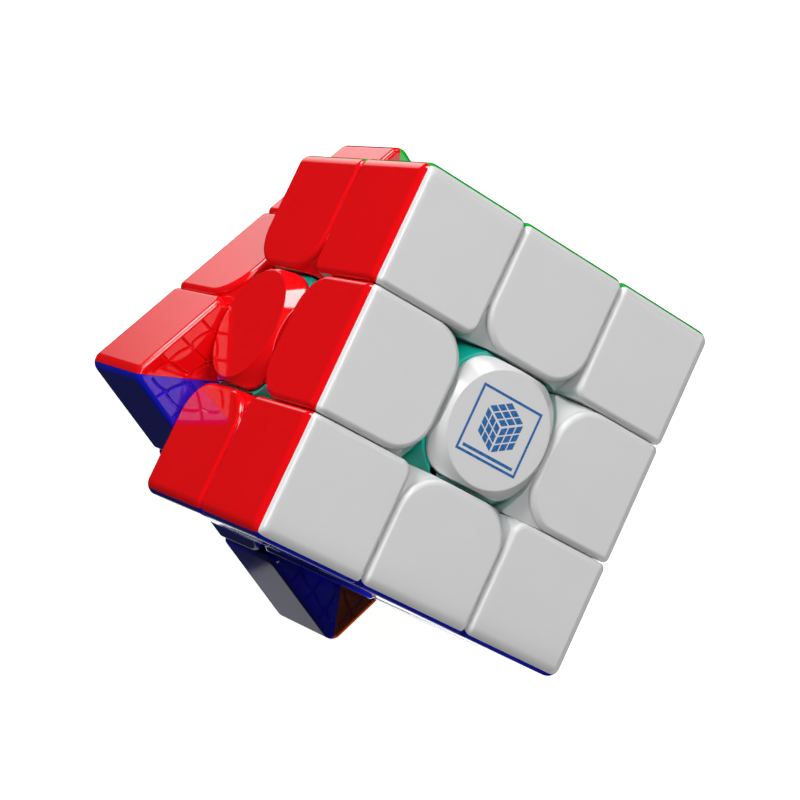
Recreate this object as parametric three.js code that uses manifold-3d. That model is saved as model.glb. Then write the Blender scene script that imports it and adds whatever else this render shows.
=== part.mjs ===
// A twisty puzzle cube with three layers a side, standing on its yellow face,
// with the yellow layer stopped part of the way through a turn.
//
// The origin is the centre of the core ball. +Z is the white face, -Z yellow,
// +X red, -X orange, -Y green and +Y blue. Lengths are in millimetres.
//
// Every surface that parts one layer from the next is a plane across a turning
// axis or a ball about the centre, so that any layer can turn past its neighbour:
//   outside PLATE_R   coloured blocks and centre plates, parted at +-LAYER_PLANE
//   CORE_R to PLATE_R feet and stalks, parted at +-FOOT_PLANE
//   inside CORE_R     the core ball that the feet slide on

import * as THREE from 'three';
import { mergeVertices } from 'three/addons/utils/BufferGeometryUtils.js';
import Module from 'manifold-3d';

const wasm = await Module();
wasm.setup();

// The cube and its layers
const FACE = 27.75; // centre of the cube to the flat of each face
const LAYER_PLANE = 9.45; // planes between the layers, among the blocks
const FOOT_PLANE = 5.35; // planes between the layers, among the feet
const PLATE_R = 19; // ball between the feet and what holds them down
const CORE_R = 12.5; // ball between the feet and the core
const PLAY = 0.15; // each piece stands back this far from a shared plane
const BALL_PLAY = 0.22; // and this far from a shared ball
const TURNED = THREE.MathUtils.degToRad(-25.1); // the yellow layer, about +Z
const WALL = 1.3; // moulded wall of a hollow block

// Blocks
const OUTER_FILLET = 1.9; // along the edges of the cube
const GAP_FILLET = 0.9; // along the gaps between blocks
const EDGE_SCOOP_R = 6; // edge block, corners next to the centre cap
const EDGE_SCOOP_DEPTH = 5;
const CORNER_SCOOP_R = 2; // corner block, corner next to the centre cap
const CORNER_SCOOP_DEPTH = 3.5;
const CORNER_FOOT_R = 8; // round foot, about the cube's diagonal
const CORE_PIN_R = 1.4; // moulding hole up each hollow corner's foot
const SHELL_HOLE_R = 1.3; // hole between the two halves of an edge

// Centres
const CAP_TOP = 28.2; // the cap stands just proud of the blocks round it
const CAP_BOTTOM = 25.6;
const CAP_HALF = 8.95; // the cap is a little narrower than its base
const CAP_FLAT_R = 8.5; // round flat on top of the cap
const CAP_CORNER_R = 5;
const CAP_BOSS_R = 3.1;
const CAP_BOSS_BOTTOM = 24.6;
const BASE_TOP = 25.4;
const BASE_TOP_R = 10.9; // the base flares down from this radius at its top
const BASE_FLARE_R = 13.2; // to this one
const BASE_FLARE_Z = 17.5; // at this height
const BASE_CORNER_R = 1.2;
const WELL_R = 3.4; // holds the spring and the screw's head
const WELL_FLOOR = 14.4;
const SHANK_HOLE_R = 1.65;

// Tension screws and springs
const SHANK_R = 1.25;
const SCREW_TIP = 6.3;
const WASHER_Z = 21.3;
const WASHER_R = 3;
const WASHER_T = 0.4;
const HEAD_R = 2.7;
const HEAD_TOP = 23.4;
const RECESS_WIDTH = 0.8;
const RECESS_LENGTH = 3.4;
const RECESS_DEPTH = 1;
const SCREW_HOLE_R = 1.4;
const SCREW_HOLE_END = 5.9;
const SPRING_R = 2.45;
const WIRE_R = 0.32;
const SPRING_LOW = 14.9;
const SPRING_HIGH = 20.9;
const SPRING_TURNS = 4;

// Facets
const BALL_DETAIL = 3;
const ROUND_SEGMENTS = 32;
const SCOOP_SEGMENTS = 24;
const SMALL_SEGMENTS = 12;
const HOLE_SEGMENTS = 8;
const CAP_ARC_STEPS = 4;
const FILLET_STEPS = 3;
const WIRE_SIDES = 4;
const STEPS_PER_TURN = 9;

const QUARTER = Math.PI / 2;

const AXIS = {
  white: new THREE.Vector3(0, 0, 1),
  yellow: new THREE.Vector3(0, 0, -1),
  red: new THREE.Vector3(1, 0, 0),
  orange: new THREE.Vector3(-1, 0, 0),
  green: new THREE.Vector3(0, -1, 0),
  blue: new THREE.Vector3(0, 1, 0),
};

const PLASTIC = {
  white: '#e9e9ea',
  yellow: '#f4d31f',
  red: '#d80a14',
  orange: '#f2620d',
  green: '#14b83a',
  blue: '#1230b4',
  teal: '#12b3a0',
};

const STEEL = new THREE.MeshStandardMaterial({ color: '#b9bcc0', roughness: 0.3, metalness: 1 });

const plastics = {};
for (const [name, color] of Object.entries(PLASTIC)) {
  plastics[name] = new THREE.MeshStandardMaterial({ color, roughness: 0.12, metalness: 0 });
}

// --- Solids -----------------------------------------------------------------

// A closed three.js geometry as a solid that can be cut and joined.
function solid(geometry) {
  const bare = geometry.clone();
  bare.deleteAttribute('normal');
  bare.deleteAttribute('uv');
  const merged = mergeVertices(bare, 1e-4);
  const corners = merged.index.array;
  const triangles = [];
  for (let i = 0; i < corners.length; i += 3) {
    const [a, b, c] = corners.slice(i, i + 3);
    if (a !== b && b !== c && c !== a) {
      triangles.push(a, b, c);
    }
  }
  return new wasm.Manifold(new wasm.Mesh({
    numProp: 3,
    vertProperties: Float32Array.from(merged.attributes.position.array),
    triVerts: Uint32Array.from(triangles),
  }));
}

// A solid back as a three.js geometry.
function geometryOf(manifold) {
  const mesh = manifold.getMesh();
  const geometry = new THREE.BufferGeometry();
  geometry.setAttribute('position', new THREE.BufferAttribute(mesh.vertProperties, 3));
  geometry.setIndex(new THREE.BufferAttribute(mesh.triVerts, 1));
  geometry.computeVertexNormals();
  return geometry;
}

function box(low, high) {
  const size = new THREE.Vector3(...high).sub(new THREE.Vector3(...low));
  const geometry = new THREE.BoxGeometry(size.x, size.y, size.z);
  geometry.translate(low[0] + size.x / 2, low[1] + size.y / 2, low[2] + size.z / 2);
  return solid(geometry);
}

function ball(radius) {
  return solid(new THREE.IcosahedronGeometry(radius, BALL_DETAIL));
}

// A round solid about Z. Its profile is [radius, z] pairs from the bottom up.
function turned(profile, segments = ROUND_SEGMENTS) {
  const points = profile.map(([r, z]) => new THREE.Vector2(r, z));
  const geometry = new THREE.LatheGeometry(points, segments);
  geometry.rotateX(Math.PI / 2);
  return solid(geometry);
}

function cylinder(radius, low, high, segments = SMALL_SEGMENTS) {
  return turned([[0, low], [radius, low], [radius, high], [0, high]], segments);
}

// A cylinder that starts at a point and runs along a direction.
function rod(radius, start, direction, length, segments = HOLE_SEGMENTS) {
  const geometry = new THREE.CylinderGeometry(radius, radius, length, segments);
  geometry.translate(0, length / 2, 0);
  const unit = new THREE.Vector3(...direction).normalize();
  geometry.applyQuaternion(new THREE.Quaternion().setFromUnitVectors(new THREE.Vector3(0, 1, 0), unit));
  geometry.translate(...start);
  return solid(geometry);
}

// An outline with rounded corners, as corners [u, v, radius, steps] anticlockwise.
// One step is a chamfer.
function roundedOutline(corners) {
  const points = corners.flatMap(([u, v, radius, steps], i) => {
    const corner = new THREE.Vector2(u, v);
    const before = corners[(i + corners.length - 1) % corners.length];
    const after = corners[(i + 1) % corners.length];
    const back = new THREE.Vector2(before[0], before[1]).sub(corner).setLength(radius);
    const on = new THREE.Vector2(after[0], after[1]).sub(corner).setLength(radius);
    const centre = corner.clone().add(back).add(on);
    return Array.from({ length: steps + 1 }, (_, k) => {
      const angle = (QUARTER * k) / steps;
      return centre.clone()
        .addScaledVector(on, -Math.cos(angle))
        .addScaledVector(back, -Math.sin(angle));
    });
  });
  return new THREE.Shape(points);
}

// An outline drawn in X and Y, as a prism along Z.
function prism(outline, low, high) {
  const geometry = new THREE.ExtrudeGeometry(outline, { depth: high - low, bevelEnabled: false });
  geometry.translate(0, 0, low);
  return solid(geometry);
}

// The turn that brings the canonical piece, which faces +Z with its side towards
// +X, round to face one way with its side towards another.
function facing(face, side) {
  const across = new THREE.Vector3().crossVectors(face, side);
  return new THREE.Matrix4().makeBasis(side, across, face);
}

// --- Coloured blocks --------------------------------------------------------

const near = LAYER_PLANE + PLAY; // where an outer layer's blocks begin
const middle = LAYER_PLANE - PLAY; // half the width of the middle layer's blocks
const footNear = FOOT_PLANE + PLAY;
const footMiddle = FOOT_PLANE - PLAY;
const far = FACE + 5; // beyond every block, for cutting boxes

// What is cut from a block's corner at (x, y) under the face at +Z, where towards
// gives the signs that lead from that corner into the block: a round of this radius
// at the face, that runs out into the square corner at this depth.
function scoop(x, y, towards, radius, depth) {
  const cx = x + towards[0] * radius;
  const cy = y + towards[1] * radius;
  const slope = (radius * (Math.SQRT2 - 1)) / depth;
  const above = 1;
  const bottom = FACE - depth;
  const top = FACE + above;
  const cone = turned([
    [0, bottom - above],
    [radius + slope * (depth + above), bottom - above],
    [radius - slope * above, top],
    [0, top],
  ], SCOOP_SEGMENTS).translate(cx, cy, 0);
  const low = [Math.min(cx, x - towards[0]), Math.min(cy, y - towards[1]), bottom - above / 2];
  const high = [Math.max(cx, x - towards[0]), Math.max(cy, y - towards[1]), top - above / 2];
  return box(low, high).subtract(cone);
}

// The corner block before it is hollowed: the same rounded outline from three sides.
function cornerBlock() {
  const outline = roundedOutline([
    [near, near, GAP_FILLET, 1],
    [FACE, near, GAP_FILLET, 1],
    [FACE, FACE, OUTER_FILLET, FILLET_STEPS],
    [near, FACE, GAP_FILLET, 1],
  ]);
  const alongZ = prism(outline, near, FACE)
    .subtract(scoop(near, near, [1, 1], CORNER_SCOOP_R, CORNER_SCOOP_DEPTH));
  const alongX = alongZ.transform(facing(AXIS.red, AXIS.blue).elements);
  const alongY = alongZ.transform(facing(AXIS.blue, AXIS.white).elements);
  return alongZ.intersect(alongX).intersect(alongY);
}

// A corner at +X +Y +Z: its hollow block, and the foot that its neighbours hold.
function corner() {
  const diagonal = [1, 1, 1];
  const low = near + WALL;
  const high = FACE - WALL;
  const floor = (PLATE_R + 1.5 * WALL) / Math.sqrt(3);
  const pocket = box([low, low, low], [high, high, high])
    .intersect(rod(far, [floor, floor, floor], diagonal, far));
  const foot = box([footNear, footNear, footNear], [PLATE_R, PLATE_R, PLATE_R])
    .intersect(ball(PLATE_R - BALL_PLAY))
    .intersect(rod(CORNER_FOOT_R, [0, 0, 0], diagonal, far, SMALL_SEGMENTS))
    .subtract(ball(CORE_R + BALL_PLAY));
  const channel = rod(CORE_PIN_R, [0, 0, 0], diagonal, PLATE_R + 2 * WALL);
  return cornerBlock().subtract(pocket).add(foot).subtract(channel);
}

// A slanted prism across Y, drawn as points in X and Z.
function wedge(points, reach) {
  const outline = new THREE.Shape(points.map(([x, z]) => new THREE.Vector2(x, z)));
  const geometry = new THREE.ExtrudeGeometry(outline, { depth: 2 * reach, bevelEnabled: false });
  geometry.translate(0, 0, -reach);
  geometry.rotateX(QUARTER);
  return solid(geometry);
}

// Half an edge, for the block at +X +Z that lies across Y: the half under the face
// at +Z. The other half is the same shape turned over.
function edgeHalf() {
  const face = roundedOutline([
    [near, -middle, GAP_FILLET, 1],
    [FACE, -middle, GAP_FILLET, 1],
    [FACE, middle, GAP_FILLET, 1],
    [near, middle, GAP_FILLET, 1],
  ]);
  const profile = roundedOutline([
    [near, near, GAP_FILLET, 1],
    [FACE, near, GAP_FILLET, 1],
    [FACE, FACE, OUTER_FILLET, FILLET_STEPS],
    [near, FACE, GAP_FILLET, 1],
  ]);
  const underFace = prism(face, near, FACE);
  const underSide = underFace.transform(facing(AXIS.red, AXIS.white).elements);
  const across = prism(profile, -middle, middle).transform(facing(AXIS.blue, AXIS.white).elements);
  const swept = ball(PLATE_R + BALL_PLAY).subtract(box([0, -footMiddle, 0], [far, footMiddle, far]));
  const foot = box([footNear, -footMiddle, footNear], [PLATE_R, footMiddle, PLATE_R])
    .intersect(ball(PLATE_R - BALL_PLAY))
    .subtract(ball(CORE_R + BALL_PLAY));
  const side = PLAY * Math.SQRT2; // from the plane between the halves, along Z
  const half = wedge([[0, side], [far, far + side], [0, far + side]], far);
  const inner = side + WALL * Math.SQRT2;
  const low = near + WALL;
  const high = FACE - WALL;
  const floor = (PLATE_R + 1.5 * WALL) * Math.SQRT2; // x + z along the pocket's floor
  const pocket = wedge([
    [low, floor - low],
    [(floor - inner) / 2, (floor + inner) / 2],
    [high - inner, high],
    [low, high],
  ], middle - WALL);
  const seam = (low + high) / 2;
  const hole = rod(SHELL_HOLE_R, [seam - 1.5 * WALL, 0, seam + 1.5 * WALL], [1, 0, -1], 3 * WALL);
  return underFace
    .intersect(underSide)
    .intersect(across)
    .subtract(scoop(near, middle, [1, -1], EDGE_SCOOP_R, EDGE_SCOOP_DEPTH))
    .subtract(scoop(near, -middle, [1, 1], EDGE_SCOOP_R, EDGE_SCOOP_DEPTH))
    .subtract(swept)
    .add(foot)
    .intersect(half)
    .subtract(pocket)
    .subtract(hole);
}

// --- Centres ----------------------------------------------------------------

function squareOutline(half, radius, steps) {
  return roundedOutline([
    [half, -half, radius, steps],
    [half, half, radius, steps],
    [-half, half, radius, steps],
    [-half, -half, radius, steps],
  ]);
}

// The cap over a centre at +Z: a rounded square whose edge is chamfered by a cone,
// which leaves a round flat, with a boss that plugs into the base.
function centreCap() {
  const cone = turned([
    [0, CAP_BOTTOM],
    [CAP_FLAT_R + CAP_TOP - CAP_BOTTOM, CAP_BOTTOM],
    [CAP_FLAT_R, CAP_TOP],
    [0, CAP_TOP],
  ]);
  const boss = cylinder(CAP_BOSS_R, CAP_BOSS_BOTTOM, CAP_BOTTOM + 1);
  return prism(squareOutline(CAP_HALF, CAP_CORNER_R, CAP_ARC_STEPS), CAP_BOTTOM, CAP_TOP + 1)
    .intersect(cone)
    .add(boss);
}

// The base of a centre at +Z: a plate that holds the feet round it down, on a stalk
// that stands on the core ball, with a well for the spring and the screw.
function centreBase() {
  const flare = turned([
    [0, 0],
    [BASE_FLARE_R, 0],
    [BASE_FLARE_R, BASE_FLARE_Z],
    [BASE_TOP_R, BASE_TOP],
    [0, BASE_TOP],
  ]);
  const plate = prism(squareOutline(middle, BASE_CORNER_R, 1), CORE_R, BASE_TOP)
    .intersect(flare)
    .subtract(ball(PLATE_R + BALL_PLAY));
  const stalk = box([-footMiddle, -footMiddle, CORE_R / 2], [footMiddle, footMiddle, PLATE_R + 1])
    .subtract(ball(CORE_R + BALL_PLAY));
  return plate
    .add(stalk)
    .subtract(cylinder(WELL_R, WELL_FLOOR, BASE_TOP + 1, 2 * HOLE_SEGMENTS))
    .subtract(cylinder(SHANK_HOLE_R, 0, WELL_FLOOR + 1));
}

// The tension screw at +Z, with its washer, and the cross in its head.
function tensionScrew() {
  const washerTop = WASHER_Z + WASHER_T;
  const body = turned([
    [0, SCREW_TIP],
    [SHANK_R / 2, SCREW_TIP],
    [SHANK_R, SCREW_TIP + SHANK_R],
    [SHANK_R, WASHER_Z],
    [WASHER_R, WASHER_Z],
    [WASHER_R, washerTop],
    [HEAD_R, washerTop],
    [HEAD_R, HEAD_TOP - 0.5],
    [HEAD_R - 0.5, HEAD_TOP],
    [0, HEAD_TOP],
  ], SMALL_SEGMENTS);
  const length = RECESS_LENGTH / 2;
  const width = RECESS_WIDTH / 2;
  const floor = HEAD_TOP - RECESS_DEPTH;
  return body
    .subtract(box([-length, -width, floor], [length, width, HEAD_TOP + 1]))
    .subtract(box([-width, -length, floor], [width, length, HEAD_TOP + 1]));
}

// The line that a coil spring's wire follows up the well.
class Helix extends THREE.Curve {
  getPoint(t, target = new THREE.Vector3()) {
    const turn = 2 * Math.PI * SPRING_TURNS * t;
    const z = SPRING_LOW + (SPRING_HIGH - SPRING_LOW) * t;
    return target.set(SPRING_R * Math.cos(turn), SPRING_R * Math.sin(turn), z);
  }
}

function spring() {
  const wire = new THREE.Shape();
  for (let i = 0; i < WIRE_SIDES; i += 1) {
    const angle = (2 * Math.PI * i) / WIRE_SIDES;
    const point = [WIRE_R * Math.cos(angle), WIRE_R * Math.sin(angle)];
    if (i === 0) {
      wire.moveTo(...point);
    } else {
      wire.lineTo(...point);
    }
  }
  wire.closePath();
  return solid(new THREE.ExtrudeGeometry(wire, {
    steps: SPRING_TURNS * STEPS_PER_TURN,
    extrudePath: new Helix(),
  }));
}

// The ball that all six screws thread into.
function coreBall() {
  const hole = cylinder(SCREW_HOLE_R, SCREW_HOLE_END, CORE_R + 1);
  let core = ball(CORE_R - BALL_PLAY);
  for (const [name, axis] of Object.entries(AXIS)) {
    const side = name === 'red' || name === 'orange' ? AXIS.blue : AXIS.red;
    core = core.subtract(hole.transform(facing(axis, side).elements));
  }
  return core;
}

// --- Assembly ---------------------------------------------------------------

const cube = new THREE.Group();
const turnedLayer = new THREE.Group();
turnedLayer.rotation.z = TURNED;
cube.add(turnedLayer);

// Adds a piece, in the turned layer if it is one of the yellow layer's. A screw isn't:
// it stays with the core, and the layer turns round it.
function place(name, geometry, material, matrix = new THREE.Matrix4()) {
  const mesh = new THREE.Mesh(geometry, material);
  mesh.name = name;
  mesh.applyMatrix4(matrix);
  const isTurned = name.includes('yellow') && !name.includes('screw');
  const parent = isTurned ? turnedLayer : cube;
  parent.add(mesh);
}

place('core_ball', geometryOf(coreBall()), plastics.teal);

// Six centres.
const centreParts = {
  centre_cap: { geometry: geometryOf(centreCap()), material: null },
  centre_base: { geometry: geometryOf(centreBase()), material: plastics.teal },
  tension_spring: { geometry: geometryOf(spring()), material: STEEL },
  tension_screw: { geometry: geometryOf(tensionScrew()), material: STEEL },
};
for (const [colour, axis] of Object.entries(AXIS)) {
  const side = colour === 'red' || colour === 'orange' ? AXIS.blue : AXIS.red;
  for (const [part, { geometry, material }] of Object.entries(centreParts)) {
    place(`${colour}_${part}`, geometry, material ?? plastics[colour], facing(axis, side));
  }
}

// Twelve edges of two halves each: every pair of faces that meet, both ways round.
const half = geometryOf(edgeHalf());
const colours = Object.keys(AXIS);
colours.forEach((first, i) => {
  colours.slice(i + 1).forEach((second) => {
    if (AXIS[first].dot(AXIS[second]) === 0) {
      const edge = `${first}_${second}_edge`;
      place(`${edge}_${first}_half`, half, plastics[first], facing(AXIS[first], AXIS[second]));
      place(`${edge}_${second}_half`, half, plastics[second], facing(AXIS[second], AXIS[first]));
    }
  });
});

// Eight corners, each turned so that its diagonal points the right way.
const cornerGeometry = geometryOf(corner());
for (const cap of ['white', 'yellow']) {
  for (const end of ['red', 'orange']) {
    for (const side of ['green', 'blue']) {
      const signs = [AXIS[cap], AXIS[end], AXIS[side]];
      const isRightHanded = signs[0].dot(new THREE.Vector3().crossVectors(signs[1], signs[2])) > 0;
      const [x, y] = isRightHanded ? [end, side] : [side, end];
      const matrix = new THREE.Matrix4().makeBasis(AXIS[x], AXIS[y], AXIS[cap]);
      place(`${cap}_${end}_${side}_corner`, cornerGeometry, plastics[cap], matrix);
    }
  }
}

export default cube;
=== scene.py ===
"""Looks for a twisty puzzle cube of three layers, stopped part of the way through a turn.

Every block is modelled once, in millimetres, as the piece that faces +Z with its side
towards +X, and is then copied to each of its places. White is +Z, yellow -Z, red +X,
orange -X, green -Y and blue +Y.
"""

import math

import bmesh
import bpy
from mathutils import Matrix, Vector


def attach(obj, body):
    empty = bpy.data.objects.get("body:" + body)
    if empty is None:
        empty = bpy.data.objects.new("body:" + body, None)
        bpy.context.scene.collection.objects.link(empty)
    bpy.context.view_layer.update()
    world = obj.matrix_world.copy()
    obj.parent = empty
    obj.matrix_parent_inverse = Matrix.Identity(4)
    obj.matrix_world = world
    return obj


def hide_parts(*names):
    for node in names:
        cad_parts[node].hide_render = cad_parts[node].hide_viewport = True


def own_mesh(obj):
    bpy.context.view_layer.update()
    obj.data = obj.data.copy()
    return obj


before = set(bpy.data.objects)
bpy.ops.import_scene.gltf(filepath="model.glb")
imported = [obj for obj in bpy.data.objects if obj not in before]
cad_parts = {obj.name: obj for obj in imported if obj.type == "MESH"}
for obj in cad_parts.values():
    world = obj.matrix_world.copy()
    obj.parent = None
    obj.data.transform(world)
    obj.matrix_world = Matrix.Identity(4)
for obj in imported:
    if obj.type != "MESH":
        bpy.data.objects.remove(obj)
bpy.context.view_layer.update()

# --- Sizes, in millimetres --------------------------------------------------

FACE = 27.75  # centre of the cube to the flat of each face
NEAR = 9.53  # where the outer layers' blocks begin
MIDDLE = 9.37  # half the width of the middle layer's blocks
FOOT_NEAR = 5.5
FOOT_MIDDLE = 5.2
PLATE_R = 19.0  # ball between the feet and what holds them down
CORE_R = 12.5
BALL_PLAY = 0.22
TURNED = math.radians(-25.1)  # the yellow layer, about +Z

OUTER_FILLET = 1.9  # along the edges of the cube
GAP_FILLET = 0.9  # along the gaps between blocks
INNER_FILLET = 0.5  # down the inner corners of a block
EDGE_SCOOP = (6.0, 5.0)  # radius and depth, beside the centre cap
CORNER_SCOOP = (2.0, 3.5)
STRAIGHT = 1.1  # depth of a scoop's upright part, which the gap fillet rounds over
SEAM = 0.015  # each shell stops this far from the plane between two colours

GROOVE_R = 0.26  # moulded net on the sides that slide past another layer
GROOVE_STANDOFF = 0.06
GROOVE_PITCH = 4.0
GROOVE_START = 1.2

CAP_TOP = 28.2
CAP_BOTTOM = 25.6
CAP_HALF = 8.95
CAP_FLAT_R = 8.5
CAP_CORNER_R = 5.0
CAP_EDGE = 0.12
BASE_TOP = 25.4
BASE_TOP_R = 10.9
BASE_FLARE_R = 13.2
BASE_FLARE_Z = 17.5
WELL_R = 3.4
WELL_FLOOR = 14.4
SHANK_HOLE_R = 1.65

SHANK_R = 1.25
SCREW_TIP = 6.3
THREAD_PITCH = 0.5
WASHER_Z = 21.3
WASHER_R = 3.0
WASHER_T = 0.4
HEAD_R = 2.7
HEAD_TOP = 23.4
RECESS = (0.8, 3.4, 1.0)  # width, length and depth of the cross in the head
SCREW_HOLE_R = 1.4
SPRING_R = 2.45
WIRE_R = 0.32
SPRING_LOW = 14.75
SPRING_HIGH = 20.95
SPRING_TURNS = 4

MM = 0.001

AXIS = {
    "white": Vector((0, 0, 1)),
    "yellow": Vector((0, 0, -1)),
    "red": Vector((1, 0, 0)),
    "orange": Vector((-1, 0, 0)),
    "green": Vector((0, -1, 0)),
    "blue": Vector((0, 1, 0)),
}

# --- Modelling --------------------------------------------------------------


def only(piece):
    bpy.ops.object.select_all(action="DESELECT")
    piece.select_set(True)
    bpy.context.view_layer.objects.active = piece


def named(name):
    piece = bpy.context.object
    piece.name = name
    bpy.ops.object.transform_apply(location=True, rotation=True, scale=True)
    return piece


def block(name, low, high):
    low, high = Vector(low), Vector(high)
    bpy.ops.object.select_all(action="DESELECT")
    bpy.ops.mesh.primitive_cube_add(size=1, location=(low + high) / 2, scale=high - low)
    return named(name)


def rod(name, radius, low, high, place=(0, 0), sides=48, top_radius=None):
    """A round bar about Z, or a cone where the top has its own radius."""
    bpy.ops.object.select_all(action="DESELECT")
    bpy.ops.mesh.primitive_cone_add(
        vertices=sides,
        radius1=radius,
        radius2=radius if top_radius is None else top_radius,
        depth=high - low,
        location=(place[0], place[1], (low + high) / 2),
    )
    return named(name)


def ball(name, radius, sides=96):
    bpy.ops.object.select_all(action="DESELECT")
    bpy.ops.mesh.primitive_uv_sphere_add(segments=sides, ring_count=sides // 2, radius=radius)
    return named(name)


def combine(piece, other, operation="DIFFERENCE"):
    """Cuts or joins another solid into this one, and uses the other one up."""
    only(piece)
    step = piece.modifiers.new(operation.title(), "BOOLEAN")
    step.operation = operation
    step.solver = "EXACT"
    step.object = other
    bpy.ops.object.modifier_apply(modifier=step.name)
    bpy.data.objects.remove(other)
    return piece


def join(pieces):
    bpy.ops.object.select_all(action="DESELECT")
    for piece in pieces:
        piece.select_set(True)
    bpy.context.view_layer.objects.active = pieces[0]
    bpy.ops.object.join()
    return pieces[0]


def pick(piece, kind, test):
    """In edit mode, selects the vertices, edges or faces that pass a test."""
    bpy.ops.mesh.select_mode(type=kind)
    bpy.ops.mesh.select_all(action="DESELECT")
    shape = bmesh.from_edit_mesh(piece.data)
    for part in {"VERT": shape.verts, "EDGE": shape.edges, "FACE": shape.faces}[kind]:
        if test(part):
            part.select_set(True)
    bmesh.update_edit_mesh(piece.data)


def clean(piece):
    """Merges what a cut leaves doubled, and makes each flat one face again."""
    only(piece)
    bpy.ops.object.mode_set(mode="EDIT")
    bpy.ops.mesh.select_all(action="SELECT")
    bpy.ops.mesh.remove_doubles(threshold=0.0005)
    bpy.ops.mesh.dissolve_limited(angle_limit=math.radians(0.02))
    bpy.ops.object.mode_set(mode="OBJECT")


def round_edges(piece, test, radius, segments):
    only(piece)
    bpy.ops.object.mode_set(mode="EDIT")
    pick(piece, "EDGE", test)
    bpy.ops.mesh.bevel(
        offset=radius,
        offset_type="OFFSET",
        segments=segments,
        profile=0.5,
        affect="EDGES",
        clamp_overlap=False,
    )
    bpy.ops.object.mode_set(mode="OBJECT")


def keep_above(piece, point, normal):
    """Cuts a solid by a plane, and keeps the part that the normal points into."""
    only(piece)
    bpy.ops.object.mode_set(mode="EDIT")
    bpy.ops.mesh.select_all(action="SELECT")
    bpy.ops.mesh.bisect(
        plane_co=point, plane_no=normal, use_fill=True, clear_inner=True, threshold=0.00001
    )
    bpy.ops.object.mode_set(mode="OBJECT")


def finish_surface(piece, angle=32):
    """Smooth on rounds and crisp on corners, with the flats kept flat to the eye."""
    only(piece)
    bpy.ops.object.shade_smooth_by_angle(angle=math.radians(angle))
    step = piece.modifiers.new("Even", "WEIGHTED_NORMAL")
    step.keep_sharp = True
    step.weight = 80
    bpy.ops.object.modifier_apply(modifier=step.name)
    return piece


def runs_along(edge, axis, *through):
    """True for an edge along an axis (0, 1 or 2) where the other coordinates, given in
    order as numbers, are those that it lies at."""
    a, b = edge.verts[0].co, edge.verts[1].co
    others = [i for i in range(3) if i != axis]
    return all(
        abs(a[i] - value) < 0.01 and abs(b[i] - value) < 0.01
        for i, value in zip(others, through)
    )


def scoop(x, y, towards, size):
    """What is cut from a block's corner at (x, y) under the face at +Z: a round of this
    radius at the face, which runs out into the square corner at this depth."""
    radius, depth = size
    centre = (x + towards[0] * radius, y + towards[1] * radius)
    corner = (x - towards[0], y - towards[1])
    low = [min(a, b) for a, b in zip(centre, corner)] + [FACE - depth - 0.5]
    high = [max(a, b) for a, b in zip(centre, corner)] + [FACE + 0.5]
    cutter = block("Scoop", low, high)
    combine(cutter, rod("Round", radius, FACE - STRAIGHT - 0.5, FACE + 1, centre, 96))
    slope = radius * (math.sqrt(2) - 1) / (depth - STRAIGHT)
    foot = radius + slope * (depth + 1 - STRAIGHT)
    flare = rod("Flare", foot, FACE - depth - 1, FACE - STRAIGHT, centre, 96, radius)
    return combine(cutter, flare)


def turn(piece, matrix):
    """Moves a piece's mesh. A mirrored one is turned right side out again."""
    piece.data.transform(matrix)
    if matrix.determinant() < 0:
        piece.data.flip_normals()
    return piece


def facing(face, side):
    """The turn that brings the piece modelled at +Z, with its side towards +X, round to
    face one way with its side towards another."""
    across = face.cross(side)
    return Matrix((side, across, face)).transposed().to_4x4()


def groove(start, end, bulge):
    """A round bar along an arc from start to end in the plane z = 0, bulging to the left
    of the way it runs."""
    start, end = Vector((*start, 0)), Vector((*end, 0))
    chord = end - start
    left = Vector((-chord.y, chord.x, 0)).normalized()
    half = chord.length / 2
    radius = (half * half + bulge * bulge) / (2 * bulge)
    centre = (start + end) / 2 + left * (bulge - radius)
    angle = 2 * math.asin(half / radius)
    tangent = (start - centre).cross(Vector((0, 0, 1)))
    bpy.ops.object.select_all(action="DESELECT")
    bpy.ops.mesh.primitive_circle_add(
        vertices=10,
        radius=GROOVE_R,
        fill_type="NGON",
        location=start,
        rotation=tangent.to_track_quat("Z", "Y").to_euler(),
    )
    bar = named("Groove")
    bpy.ops.object.mode_set(mode="EDIT")
    bpy.ops.mesh.select_all(action="SELECT")
    bpy.ops.mesh.spin(steps=8, angle=angle, center=centre, axis=(0, 0, 1))
    bpy.ops.mesh.select_all(action="SELECT")
    bpy.ops.mesh.remove_doubles(threshold=0.0001)
    bpy.ops.mesh.normals_make_consistent(inside=False)
    bpy.ops.object.mode_set(mode="OBJECT")
    return bar


def net(length):
    """The grooves of one colour's half of a sliding side, drawn in the plane z = 0. X runs
    along the cube's edge from its corner and Y runs inwards from the edge. Ribs start at
    every pitch along the edge, and bowed cross bars join each rib to the next."""
    bars = []
    lean = 0.24
    ribs = int((length - GROOVE_START) // GROOVE_PITCH)
    for k in range(1, ribs + 1):
        foot = GROOVE_START + k * GROOVE_PITCH
        reach = (foot - 0.9) / (1 - lean)
        reach = min(reach, (length - 0.6 - foot) / lean)
        bars.append(groove((foot, 0.8), (foot + lean * reach, reach), 0.04 * reach))
    for k in range(0, ribs + 1):
        for row in range(0, k + 1):
            y = 2.0 + row * 3.9 + 0.25 * k
            x = GROOVE_START + k * GROOVE_PITCH + lean * y
            if k == row:
                x = max(x, y + 0.5)
            far = GROOVE_START + (k + 1) * GROOVE_PITCH + lean * (y + 0.8)
            if far < length - 0.6 and far - x > 1:
                bars.append(groove((far, y + 0.8), (x, y), 0.35))
    return bars


def is_outer(out):
    return lambda face: face.normal.dot(out) > 0.5


def rim(out):
    """The edges all round the faces that point out of the cube."""
    outer = is_outer(out)
    return lambda edge: len(edge.link_faces) == 2 and (
        outer(edge.link_faces[0]) != outer(edge.link_faces[1])
    )


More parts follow.
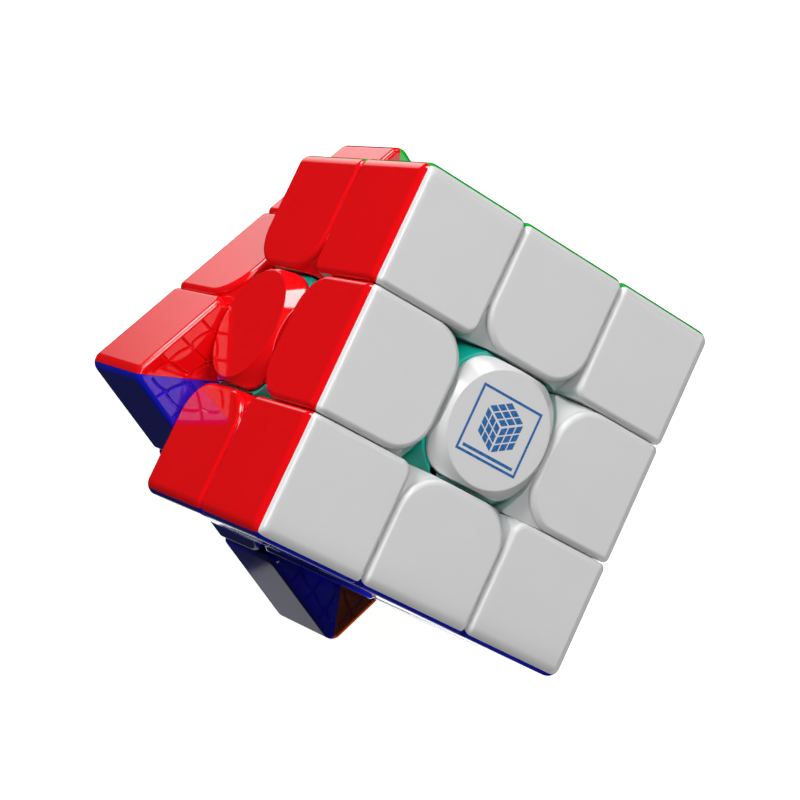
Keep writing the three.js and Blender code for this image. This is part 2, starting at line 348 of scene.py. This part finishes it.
# --- Edge blocks: two shells and a foot -------------------------------------


def edge_shell():
    """The shell under +Z of the edge at +X +Z, which lies across Y."""
    shell = block("Edge shell", (NEAR, -MIDDLE, NEAR), (FACE, MIDDLE, FACE))
    round_edges(shell, lambda e: runs_along(e, 1, FACE, FACE), OUTER_FILLET, 10)
    for y in (-MIDDLE, MIDDLE):
        round_edges(shell, lambda e: runs_along(e, 2, NEAR, y), INNER_FILLET, 3)
        round_edges(shell, lambda e: runs_along(e, 0, y, NEAR), INNER_FILLET, 3)
    over = facing(AXIS["red"], AXIS["white"])
    for y, towards in ((MIDDLE, (1, -1)), (-MIDDLE, (1, 1))):
        combine(shell, scoop(NEAR, y, towards, EDGE_SCOOP))
        combine(shell, turn(scoop(NEAR, y, towards, EDGE_SCOOP), over))
    clean(shell)
    round_edges(shell, rim(Vector((1, 0, 1)).normalized()), GAP_FILLET, 6)
    combine(shell, ball("Ball", PLATE_R + BALL_PLAY))
    keep_above(shell, (0, 0, SEAM), (-1, 0, 1))
    for y in (-MIDDLE - GROOVE_STANDOFF, MIDDLE + GROOVE_STANDOFF):
        place = Matrix(((-1, 0, 0), (0, 0, 1), (0, -1, 0))).to_4x4()
        place.translation = Vector((FACE, y, FACE))
        for bar in net(FACE - NEAR):
            combine(shell, turn(bar, place))
    return finish_surface(shell)


def edge_foot():
    """The foot that both shells of an edge snap on to."""
    foot = block(
        "Edge foot", (FOOT_NEAR, -FOOT_MIDDLE, FOOT_NEAR), (PLATE_R, FOOT_MIDDLE, PLATE_R)
    )
    combine(foot, ball("Ball", PLATE_R - BALL_PLAY), "INTERSECT")
    stem = block("Stem", (NEAR + 1, -FOOT_MIDDLE + 0.6, NEAR + 1), (15.5, FOOT_MIDDLE - 0.6, 15.5))
    combine(foot, stem, "UNION")
    combine(foot, ball("Ball", CORE_R + BALL_PLAY))
    clean(foot)
    round_edges(foot, lambda e: e.calc_face_angle(0) > 0.9 and e.calc_length() > 1, 0.3, 2)
    return finish_surface(foot)


# --- Corner blocks: three shells and a foot ---------------------------------


def corner_shell():
    """The shell under +Z of the corner at +X +Y +Z."""
    shell = block("Corner shell", (NEAR, NEAR, NEAR), (FACE, FACE, FACE))
    round_edges(
        shell,
        lambda e: any(runs_along(e, axis, FACE, FACE) for axis in range(3)),
        OUTER_FILLET,
        10,
    )
    for axis in range(3):
        round_edges(shell, lambda e: runs_along(e, axis, NEAR, NEAR), INNER_FILLET, 3)
    for over in (
        Matrix.Identity(4),
        facing(AXIS["red"], AXIS["blue"]),
        facing(AXIS["blue"], AXIS["white"]),
    ):
        combine(shell, turn(scoop(NEAR, NEAR, (1, 1), CORNER_SCOOP), over))
    clean(shell)
    round_edges(shell, rim(Vector((1, 1, 1)).normalized()), GAP_FILLET, 6)
    combine(shell, ball("Ball", PLATE_R + BALL_PLAY))
    keep_above(shell, (0, 0, SEAM), (-1, 0, 1))
    keep_above(shell, (0, 0, SEAM), (0, -1, 1))
    beside_y = Matrix(((-1, 0, 0), (0, 0, 1), (0, -1, 0))).to_4x4()
    beside_y.translation = Vector((FACE, NEAR - GROOVE_STANDOFF, FACE))
    beside_x = Matrix(((0, 0, 1), (-1, 0, 0), (0, -1, 0))).to_4x4()
    beside_x.translation = Vector((NEAR - GROOVE_STANDOFF, FACE, FACE))
    for place in (beside_y, beside_x):
        for bar in net(FACE - NEAR):
            combine(shell, turn(bar, place))
    return finish_surface(shell)


def corner_foot():
    """The foot that the three shells of a corner snap on to."""
    foot = block("Corner foot", (FOOT_NEAR,) * 3, (PLATE_R,) * 3)
    combine(foot, ball("Ball", PLATE_R - BALL_PLAY), "INTERSECT")
    along = Vector((1, 1, 1)).to_track_quat("Z", "Y").to_matrix().to_4x4()
    combine(foot, turn(rod("Neck", 8, 2, 30, sides=64), along), "INTERSECT")
    stem = turn(rod("Stem", 4, 16, 23, sides=48), along)
    room = block("Own room", (NEAR + 0.3,) * 3, (FACE - 5,) * 3)
    combine(foot, combine(stem, room, "INTERSECT"), "UNION")
    combine(foot, ball("Ball", CORE_R + BALL_PLAY))
    clean(foot)
    round_edges(foot, lambda e: e.calc_face_angle(0) > 0.9 and e.calc_length() > 0.3, 0.25, 2)
    return finish_surface(foot)


# --- Centres ----------------------------------------------------------------


def centre_cap():
    cap = block("Cap", (-CAP_HALF, -CAP_HALF, CAP_BOTTOM), (CAP_HALF, CAP_HALF, CAP_TOP))
    round_edges(cap, lambda e: abs(e.verts[0].co.z - e.verts[1].co.z) > 1, CAP_CORNER_R, 20)
    chamfer = rod(
        "Chamfer",
        CAP_FLAT_R + CAP_TOP - CAP_BOTTOM,
        CAP_BOTTOM,
        CAP_TOP,
        sides=160,
        top_radius=CAP_FLAT_R,
    )
    combine(cap, chamfer, "INTERSECT")
    clean(cap)
    round_edges(cap, lambda e: e.calc_face_angle(0) > 0.5, CAP_EDGE, 3)
    combine(cap, rod("Boss", 3.1, CAP_BOTTOM - 1, CAP_BOTTOM + 0.5, sides=64), "UNION")
    return finish_surface(cap)


def centre_base():
    base = block("Base", (-MIDDLE, -MIDDLE, CORE_R), (MIDDLE, MIDDLE, BASE_TOP))
    round_edges(base, lambda e: abs(e.verts[0].co.z - e.verts[1].co.z) > 1, 1.2, 5)
    flare = rod("Flare", BASE_FLARE_R, BASE_FLARE_Z, BASE_TOP, sides=128, top_radius=BASE_TOP_R)
    combine(flare, rod("Skirt", BASE_FLARE_R, 1, BASE_FLARE_Z, sides=128), "UNION")
    combine(base, flare, "INTERSECT")
    combine(base, ball("Ball", PLATE_R + BALL_PLAY))
    stalk = block(
        "Stalk", (-FOOT_MIDDLE, -FOOT_MIDDLE, CORE_R / 2), (FOOT_MIDDLE, FOOT_MIDDLE, PLATE_R + 1)
    )
    combine(base, combine(stalk, ball("Ball", CORE_R + BALL_PLAY)), "UNION")
    combine(base, rod("Well", WELL_R, WELL_FLOOR, BASE_TOP + 1, sides=64))
    combine(base, rod("Shank hole", SHANK_HOLE_R, 2, WELL_FLOOR + 1, sides=32))
    clean(base)
    round_edges(base, lambda e: e.calc_face_angle(0) > 0.9 and e.verts[0].co.z > 20, 0.2, 2)
    return finish_surface(base)


def coil(name, profile_radius, radius, low, pitch, turns, sides, steps):
    """Wire wound about Z, with its two ends closed."""
    bpy.ops.object.select_all(action="DESELECT")
    bpy.ops.mesh.primitive_circle_add(
        vertices=sides,
        radius=profile_radius,
        location=(radius, 0, low),
        rotation=(math.pi / 2, 0, 0),
    )
    wire = named(name)
    step = wire.modifiers.new("Wind", "SCREW")
    step.angle = 2 * math.pi
    step.screw_offset = pitch
    step.iterations = turns
    step.steps = steps
    step.render_steps = steps
    bpy.ops.object.modifier_apply(modifier=step.name)
    bpy.ops.object.mode_set(mode="EDIT")
    bpy.ops.mesh.select_all(action="SELECT")
    bpy.ops.mesh.remove_doubles(threshold=0.0001)
    bpy.ops.mesh.fill_holes(sides=0)
    bpy.ops.mesh.select_all(action="SELECT")
    bpy.ops.mesh.normals_make_consistent(inside=False)
    bpy.ops.object.mode_set(mode="OBJECT")
    return wire


def tension_spring():
    low, high = SPRING_LOW + WIRE_R, SPRING_HIGH - WIRE_R
    spring = coil(
        "Spring", WIRE_R, SPRING_R, low, (high - low) / SPRING_TURNS, SPRING_TURNS, 12, 32
    )
    return finish_surface(spring, 50)


def tension_screw():
    """Pan head with a cross in it, washer and threaded shank."""
    screw = rod("Screw", HEAD_R, WASHER_Z + WASHER_T, HEAD_TOP, sides=48)
    round_edges(screw, lambda e: min(v.co.z for v in e.verts) > HEAD_TOP - 0.01, 0.7, 5)
    width, length, depth = RECESS
    low = HEAD_TOP - depth
    cross = block("Cross", (-length / 2, -width / 2, low), (length / 2, width / 2, HEAD_TOP + 1))
    arm = block("Arm", (-width / 2, -length / 2, low), (width / 2, length / 2, HEAD_TOP + 1))
    combine(screw, combine(cross, arm, "UNION"))
    washer = rod("Washer", WASHER_R, WASHER_Z, WASHER_Z + WASHER_T + 0.02, sides=64)
    round_edges(washer, lambda e: e.calc_face_angle(0) > 1, 0.08, 2)
    combine(screw, washer, "UNION")
    combine(screw, rod("Shank", SHANK_R - 0.2, SCREW_TIP + 0.8, WASHER_Z + 0.1, sides=32), "UNION")
    tip = rod("Tip", 0.55, SCREW_TIP, SCREW_TIP + 0.8, sides=32, top_radius=SHANK_R - 0.2)
    combine(screw, tip, "UNION")
    turns = int((WELL_FLOOR - 1 - SCREW_TIP - 0.8) / THREAD_PITCH)
    thread = coil("Thread", 0.2, SHANK_R - 0.2, SCREW_TIP + 1, THREAD_PITCH, turns, 4, 24)
    return finish_surface(join([screw, thread]), 35)


def core_ball():
    core = ball("Core", CORE_R - BALL_PLAY)
    for colour, axis in AXIS.items():
        hole = rod("Hole", SCREW_HOLE_R, 5.9, CORE_R + 1, sides=32)
        combine(core, turn(hole, axis.to_track_quat("Z", "Y").to_matrix().to_4x4()))
    clean(core)
    round_edges(core, lambda e: e.calc_face_angle(0) > 0.9 and e.verts[0].co.length > 11, 0.2, 2)
    return finish_surface(core)


# --- Printed emblem: a framed picture of a cube -----------------------------

PRINT_HALF = (5.5, 4.95)  # across and up
PRINT_T = 0.02
PRINT_LINE = 0.38
TILE = 1.27


def tile(centre, u, v):
    """A lozenge of ink with sides along u and v."""
    bpy.ops.object.select_all(action="DESELECT")
    bpy.ops.mesh.primitive_cube_add(size=1)
    piece = named("Tile")
    across, up = Vector((*u, 0)), Vector((*v, 0))
    shape = Matrix((across, up, Vector((0, 0, PRINT_T)))).transposed().to_4x4()
    shape.translation = Vector((*centre, 0))
    return turn(piece, shape)


def cap_print():
    """Drawn in X and Y about the origin, with the top towards +Y."""
    across, up = PRINT_HALF
    t = PRINT_LINE
    thick = PRINT_T / 2
    parts = [
        block("Frame", (-across, -up, -thick), (across, -up + t, thick)),
        block("Frame", (-across, up - t, -thick), (across, up, thick)),
        block("Frame", (-across, -up + t, -thick), (-across + t, up - t, thick)),
        block("Frame", (across - t, -up + t, -thick), (across, up - t, thick)),
        block("Bar", (-across + 0.9, -up + 0.75, -thick), (across - 0.9, -up + 1.2, thick)),
    ]
    middle = Vector((0, 0.48))
    right, left, down = [
        Vector((math.cos(a), math.sin(a))) for a in (math.pi / 6, math.pi * 5 / 6, -math.pi / 2)
    ]
    faces = [(right, left), (left, down), (down, right)]
    for u, v in faces:
        for i in range(3):
            for j in range(3):
                centre = middle + (i + 0.56) * TILE * u + (j + 0.56) * TILE * v
                parts.append(tile(centre, u * TILE * 0.82, v * TILE * 0.82))
    return join(parts)


# --- Materials --------------------------------------------------------------


def linear(colour):
    """An sRGB hex colour as linear red, green, blue and alpha."""
    out = []
    for i in (1, 3, 5):
        c = int(colour[i : i + 2], 16) / 255
        out.append(c / 12.92 if c <= 0.04045 else ((c + 0.055) / 1.055) ** 2.4)
    return (*out, 1.0)


def add(tree, kind, links=None, **settings):
    """Adds a node. Settings are its own properties, or its inputs by name with spaces as
    underscores; links are its inputs by name and the sockets that feed them."""
    node = tree.nodes.new(kind)
    for name, value in settings.items():
        if hasattr(node, name):
            setattr(node, name, value)
        else:
            node.inputs[name.replace("_", " ")].default_value = value
    for name, socket in (links or {}).items():
        tree.links.new(socket, node.inputs[name])
    return node


def material(name):
    made = bpy.data.materials.new(name)
    made.use_nodes = True
    made.node_tree.nodes.clear()
    return made, made.node_tree


def gloss_abs(name, colour, deep):
    """ABS, injection moulded in a polished tool. It is solid-coloured and mirror-smooth,
    with the faint orange peel of shrinkage, a little cloudiness in the pigment, and the
    hairlines that hands and neighbouring blocks leave."""
    made, tree = material(name)
    place = add(tree, "ShaderNodeTexCoord").outputs["Object"]
    cloud = add(tree, "ShaderNodeTexNoise", {"Vector": place}, Scale=110.0, Detail=3.0)
    tint = add(
        tree,
        "ShaderNodeMix",
        {"Factor": cloud.outputs["Fac"]},
        data_type="RGBA",
    )
    tint.inputs[6].default_value = linear(deep)
    tint.inputs[7].default_value = linear(colour)
    # Hairlines are 10 to 20 microns wide on a real cube. They are drawn 0.1 mm wide here
    # so that they show at all.
    stretch = add(
        tree, "ShaderNodeMapping", {"Vector": place}, Scale=(1.0, 9.0, 1.0), Rotation=(0.4, 0.7, 0.9)
    )
    hair = add(
        tree,
        "ShaderNodeTexNoise",
        {"Vector": stretch.outputs["Vector"]},
        Scale=900.0,
        Detail=4.0,
        Roughness=0.7,
    )
    gloss = add(
        tree,
        "ShaderNodeMapRange",
        {"Value": hair.outputs["Fac"]},
        From_Min=0.35,
        From_Max=0.8,
        To_Min=0.035,
        To_Max=0.11,
    )
    # Orange peel: soft waves about 1.6 mm across and under a micron high.
    peel = add(tree, "ShaderNodeTexNoise", {"Vector": place}, Scale=620.0, Detail=1.0)
    waves = add(
        tree,
        "ShaderNodeBump",
        {"Height": peel.outputs["Fac"]},
        Strength=0.25,
        Distance=0.000006,
    )
    scratch = add(
        tree,
        "ShaderNodeBump",
        {"Height": hair.outputs["Fac"], "Normal": waves.outputs["Normal"]},
        Strength=0.2,
        Distance=0.000001,
    )
    shader = add(
        tree,
        "ShaderNodeBsdfPrincipled",
        {
            "Base Color": tint.outputs[2],
            "Roughness": gloss.outputs["Result"],
            "Normal": scratch.outputs["Normal"],
        },
        IOR=1.85,
    )
    add(tree, "ShaderNodeOutputMaterial", {"Surface": shader.outputs["BSDF"]})
    return made


def spark_eroded_abs(name, colour, deep):
    """ABS with a satin skin, moulded in a spark-eroded tool, for the parts inside. A fine
    even grain spreads the highlights, and the gloss varies a little from place to place."""
    made, tree = material(name)
    place = add(tree, "ShaderNodeTexCoord").outputs["Object"]
    flow = add(tree, "ShaderNodeTexNoise", {"Vector": place}, Scale=160.0, Detail=3.0)
    tint = add(tree, "ShaderNodeMix", {"Factor": flow.outputs["Fac"]}, data_type="RGBA")
    tint.inputs[6].default_value = linear(deep)
    tint.inputs[7].default_value = linear(colour)
    gloss = add(
        tree, "ShaderNodeMapRange", {"Value": flow.outputs["Fac"]}, To_Min=0.12, To_Max=0.26
    )
    # The grain of the tool is about 30 microns; it is drawn at 0.15 mm to show.
    grain = add(tree, "ShaderNodeTexVoronoi", {"Vector": place}, Scale=6500.0)
    skin = add(
        tree,
        "ShaderNodeBump",
        {"Height": grain.outputs["Distance"]},
        Strength=0.3,
        Distance=0.00001,
    )
    shader = add(
        tree,
        "ShaderNodeBsdfPrincipled",
        {
            "Base Color": tint.outputs[2],
            "Roughness": gloss.outputs["Result"],
            "Normal": skin.outputs["Normal"],
        },
        IOR=1.75,
    )
    add(tree, "ShaderNodeOutputMaterial", {"Surface": shader.outputs["BSDF"]})
    return made


def zinc_plated_steel(name):
    """Steel wire and screws, bright zinc plated. The plating is cloudy in patches, with
    fine drawing marks and a few dull spots."""
    made, tree = material(name)
    place = add(tree, "ShaderNodeTexCoord").outputs["Object"]
    cloud = add(tree, "ShaderNodeTexNoise", {"Vector": place}, Scale=900.0, Detail=4.0)
    tint = add(tree, "ShaderNodeMix", {"Factor": cloud.outputs["Fac"]}, data_type="RGBA")
    tint.inputs[6].default_value = linear("#8f949b")
    tint.inputs[7].default_value = linear("#d3d5d8")
    gloss = add(
        tree, "ShaderNodeMapRange", {"Value": cloud.outputs["Fac"]}, To_Min=0.18, To_Max=0.45
    )
    marks = add(tree, "ShaderNodeTexNoise", {"Vector": place}, Scale=5000.0, Detail=2.0)
    skin = add(
        tree,
        "ShaderNodeBump",
        {"Height": marks.outputs["Fac"]},
        Strength=0.3,
        Distance=0.000008,
    )
    shader = add(
        tree,
        "ShaderNodeBsdfPrincipled",
        {
            "Base Color": tint.outputs[2],
            "Roughness": gloss.outputs["Result"],
            "Normal": skin.outputs["Normal"],
        },
        Metallic=1.0,
    )
    add(tree, "ShaderNodeOutputMaterial", {"Surface": shader.outputs["BSDF"]})
    return made


def pad_print_ink(name):
    """Pad-printing ink on the cap: a thin even film of blue, duller than the plastic, with
    the finest of pinholes."""
    made, tree = material(name)
    place = add(tree, "ShaderNodeTexCoord").outputs["Object"]
    film = add(tree, "ShaderNodeTexNoise", {"Vector": place}, Scale=2500.0, Detail=3.0)
    tint = add(tree, "ShaderNodeMix", {"Factor": film.outputs["Fac"]}, data_type="RGBA")
    tint.inputs[6].default_value = linear("#0a5fa6")
    tint.inputs[7].default_value = linear("#0f72bc")
    gloss = add(
        tree, "ShaderNodeMapRange", {"Value": film.outputs["Fac"]}, To_Min=0.22, To_Max=0.34
    )
    skin = add(
        tree,
        "ShaderNodeBump",
        {"Height": film.outputs["Fac"]},
        Strength=0.2,
        Distance=0.000004,
    )
    shader = add(
        tree,
        "ShaderNodeBsdfPrincipled",
        {
            "Base Color": tint.outputs[2],
            "Roughness": gloss.outputs["Result"],
            "Normal": skin.outputs["Normal"],
        },
        IOR=1.5,
    )
    add(tree, "ShaderNodeOutputMaterial", {"Surface": shader.outputs["BSDF"]})
    return made


plastic = {
    "white": gloss_abs("White gloss ABS", "#ececec", "#e6e6e7"),
    "yellow": gloss_abs("Yellow gloss ABS", "#f5d71c", "#f0cd12"),
    "red": gloss_abs("Red gloss ABS", "#f20b12", "#ea080e"),
    "orange": gloss_abs("Orange gloss ABS", "#f5650c", "#ee5b08"),
    "green": gloss_abs("Green gloss ABS", "#12c838", "#0cbc31"),
    "blue": gloss_abs("Blue gloss ABS", "#0a20dc", "#081ace"),
}
teal_plastic = spark_eroded_abs("Turquoise satin ABS", "#10cfb8", "#0cc2ac")
steel = zinc_plated_steel("Zinc-plated steel")
ink = pad_print_ink("Blue pad-print ink")

# --- Pieces in their places -------------------------------------------------

TURN_LAYER = Matrix.Rotation(TURNED, 4, "Z")


def set_down(master, name, matrix, finish, body, nodes=()):
    """Copies a modelled piece to its place in metres, on its body."""
    mesh = master.data.copy()
    mesh.transform(Matrix.Scale(MM, 4) @ matrix)
    mesh.materials.clear()
    mesh.materials.append(finish)
    piece = bpy.data.objects.new(name, mesh)
    bpy.context.scene.collection.objects.link(piece)
    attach(piece, body)
    if nodes:
        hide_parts(*nodes)
    return piece


def layer_of(name):
    """The body that a block belongs to, and the turn that its layer has at rest."""
    if "yellow" in name:
        return "yellow_layer", TURN_LAYER
    if "white" in name:
        return "white_layer", Matrix.Identity(4)
    return "core", Matrix.Identity(4)


half_shell = edge_shell()
half_foot = edge_foot()
colours = list(AXIS)
for i, first in enumerate(colours):
    for second in colours[i + 1 :]:
        if AXIS[first].dot(AXIS[second]) != 0:
            continue
        edge = f"{first}_{second}_edge"
        body, at_rest = layer_of(edge)
        places = ((first, second), (second, first))
        for face, side in places:
            matrix = at_rest @ facing(AXIS[face], AXIS[side])
            set_down(
                half_shell,
                f"{edge}_{face}_shell",
                matrix,
                plastic[face],
                body,
                [f"{edge}_{face}_half"],
            )
        matrix = at_rest @ facing(AXIS[first], AXIS[second])
        set_down(half_foot, f"{edge}_foot", matrix, teal_plastic, body)

third_shell = corner_shell()
third_foot = corner_foot()
for cap in ("white", "yellow"):
    for end in ("red", "orange"):
        for side in ("green", "blue"):
            corner = f"{cap}_{end}_{side}_corner"
            body, at_rest = layer_of(corner)
            right_handed = AXIS[cap].dot(AXIS[end].cross(AXIS[side])) > 0
            ring = [cap, end, side] if right_handed else [cap, side, end]
            for k, face in enumerate(ring):
                matrix = at_rest @ facing(AXIS[face], AXIS[ring[(k + 1) % 3]])
                set_down(
                    third_shell,
                    f"{corner}_{face}_shell",
                    matrix,
                    plastic[face],
                    body,
                    [corner],
                )
            matrix = at_rest @ facing(AXIS[ring[0]], AXIS[ring[1]])
            set_down(third_foot, f"{corner}_foot", matrix, teal_plastic, body)

cap_shape = centre_cap()
base_shape = centre_base()
spring_shape = tension_spring()
screw_shape = tension_screw()
for colour, axis in AXIS.items():
    side = AXIS["blue"] if colour in ("red", "orange") else AXIS["red"]
    matrix = facing(axis, side)
    body, at_rest = layer_of(colour)
    set_down(
        cap_shape,
        f"{colour}_cap",
        at_rest @ matrix,
        plastic[colour],
        f"{colour}_cap",
        [f"{colour}_centre_cap"],
    )
    set_down(
        base_shape,
        f"{colour}_base",
        at_rest @ matrix,
        teal_plastic,
        f"{colour}_centre",
        [f"{colour}_centre_base"],
    )
    spring = set_down(
        spring_shape,
        f"{colour}_spring",
        at_rest @ matrix,
        steel,
        f"{colour}_centre",
        [f"{colour}_tension_spring"],
    )
    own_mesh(spring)
    set_down(
        screw_shape,
        f"{colour}_screw",
        matrix,
        steel,
        f"{colour}_screw",
        [f"{colour}_tension_screw"],
    )

core_shape = core_ball()
set_down(
    core_shape, "core", Matrix.Identity(4), teal_plastic, "core", ["core_ball"]
)

print_shape = cap_print()
print_place = Matrix(((-1, 0, 0), (0, -1, 0), (0, 0, 1))).to_4x4()
print_place.translation = Vector((0, 0, CAP_TOP + PRINT_T / 2 - 0.004))
set_down(print_shape, "white_cap_print", print_place, ink, "white_cap")

masters = (
    half_shell,
    half_foot,
    third_shell,
    third_foot,
    cap_shape,
    base_shape,
    spring_shape,
    screw_shape,
    core_shape,
    print_shape,
)
for master in masters:
    bpy.data.objects.remove(master)

# --- Studio -----------------------------------------------------------------

scene = bpy.context.scene
scene.view_settings.view_transform = "Standard"

world = bpy.data.worlds.new("Studio")
world.use_nodes = True
world.node_tree.nodes["Background"].inputs["Color"].default_value = linear("#ffffff")
world.node_tree.nodes["Background"].inputs["Strength"].default_value = 0.02
scene.world = world


def paper(name):
    """Matt white backdrop paper, evenly lit from behind, with a faint fibre mottle."""
    made, tree = material(name)
    place = add(tree, "ShaderNodeTexCoord").outputs["Object"]
    fibre = add(tree, "ShaderNodeTexNoise", {"Vector": place}, Scale=300.0, Detail=4.0)
    tint = add(tree, "ShaderNodeMix", {"Factor": fibre.outputs["Fac"]}, data_type="RGBA")
    tint.inputs[6].default_value = linear("#f4f4f4")
    tint.inputs[7].default_value = linear("#f8f8f8")
    shader = add(
        tree,
        "ShaderNodeBsdfPrincipled",
        {"Base Color": tint.outputs[2]},
        Roughness=0.9,
        Emission_Color=linear("#ffffff"),
        Emission_Strength=0.96,
    )
    add(tree, "ShaderNodeOutputMaterial", {"Surface": shader.outputs["BSDF"]})
    return made


def backdrop(radius, level):
    """A dome of paper with a flat floor, which closes the studio off on every side."""
    bpy.ops.object.select_all(action="DESELECT")
    bpy.ops.mesh.primitive_uv_sphere_add(segments=64, ring_count=32, radius=radius)
    dome = named("Backdrop")
    keep_above(dome, (0, 0, level), (0, 0, 1))
    bpy.ops.object.mode_set(mode="EDIT")
    bpy.ops.mesh.select_all(action="SELECT")
    bpy.ops.mesh.normals_make_consistent(inside=True)
    bpy.ops.object.mode_set(mode="OBJECT")
    dome.data.materials.append(paper("White backdrop paper"))
    dome.visible_diffuse = False
    dome.visible_glossy = False
    dome.visible_shadow = False


backdrop(3, -(CAP_TOP + 0.02) * MM)


def softbox(
    name, direction, distance, width, height, radiance, shades=True, shines=True, fade=None
):
    """An area light in a direction from the cube, facing it, with its height upright or
    along Y overhead. Its brightness is the radiance of its surface. One that only shades
    isn't seen in the gloss, and one that only shines is seen in nothing else. One that
    fades has these two shares of its radiance at the ends of its height."""
    data = bpy.data.lights.new(name, "AREA")
    data.shape = "RECTANGLE"
    data.size, data.size_y = width, height
    data.energy = radiance * math.pi * width * height
    if fade:
        data.use_nodes = True
        tree = data.node_tree
        spot = add(tree, "ShaderNodeNewGeometry").outputs["Parametric"]
        height_up = add(tree, "ShaderNodeSeparateXYZ", {"Vector": spot}).outputs["Y"]
        share = add(
            tree, "ShaderNodeMapRange", {"Value": height_up}, To_Min=fade[0], To_Max=fade[1]
        ).outputs["Result"]
        tree.links.new(share, tree.nodes["Emission"].inputs["Strength"])
    light = bpy.data.objects.new(name, data)
    back = Vector(direction).normalized()
    across = Vector((0, 1, 0)).cross(back).normalized()
    light.matrix_world = Matrix((across, back.cross(across), back)).transposed().to_4x4()
    light.location = back * distance
    light.visible_camera = False
    light.visible_diffuse = shades
    light.visible_glossy = shines
    scene.collection.objects.link(light)
    return light


softbox("Side key", (0.9, -0.3, 0.31), 1.0, 0.35, 0.35, 15.0, shines=False)
softbox("Top key", (0.28, -0.42, 0.86), 1.0, 0.35, 0.35, 13.5, shines=False)
softbox("Back fill", (-0.9, 0.41, -0.1), 1.0, 0.35, 0.35, 22.0, shines=False)
softbox("Side softbox", (0.66, -0.74, 0.03), 1.0, 0.38, 0.38, 7.6)
softbox("Right softbox", (0.71, -0.53, 0.46), 1.0, 0.26, 0.26, 2.6, shades=False)
softbox("Far softbox", (0.22, -0.93, 0.27), 1.0, 0.3, 0.3, 2.2, shades=False)
softbox("Overhead panel", (-0.5, -0.27, 0.82), 1.0, 0.6, 0.56, 1.0, shades=False)
softbox("Front softbox", (0.42, -0.09, 0.905), 1.0, 0.24, 0.5, 2.6, shades=False)
softbox("Strip softbox", (0.44, -0.5, 0.75), 1.0, 0.1, 0.3, 10.0, shades=False)
softbox("Low panel", (0.17, -0.45, -0.88), 1.2, 0.6, 0.36, 2.05, shades=False, fade=(1.0, 0.16))
softbox("Low side panel", (-0.46, 0.42, -0.78), 1.2, 0.45, 0.5, 0.29, shades=False)
softbox("Low back panel", (-0.5, 0.12, -0.86), 1.2, 0.5, 0.2, 1.4, shades=False)

# --- Camera -----------------------------------------------------------------

lens = bpy.data.cameras.new("Camera")
lens.sensor_width = 36
lens.lens = 91.11
lens.clip_start = 0.01
camera = bpy.data.objects.new("Camera", lens)
scene.collection.objects.link(camera)
camera.location = Vector((153.66, 32.54, 260.77)) * MM
camera.rotation_euler = [math.radians(a) for a in (-8.583, -30.0, -150.993)]
scene.camera = camera
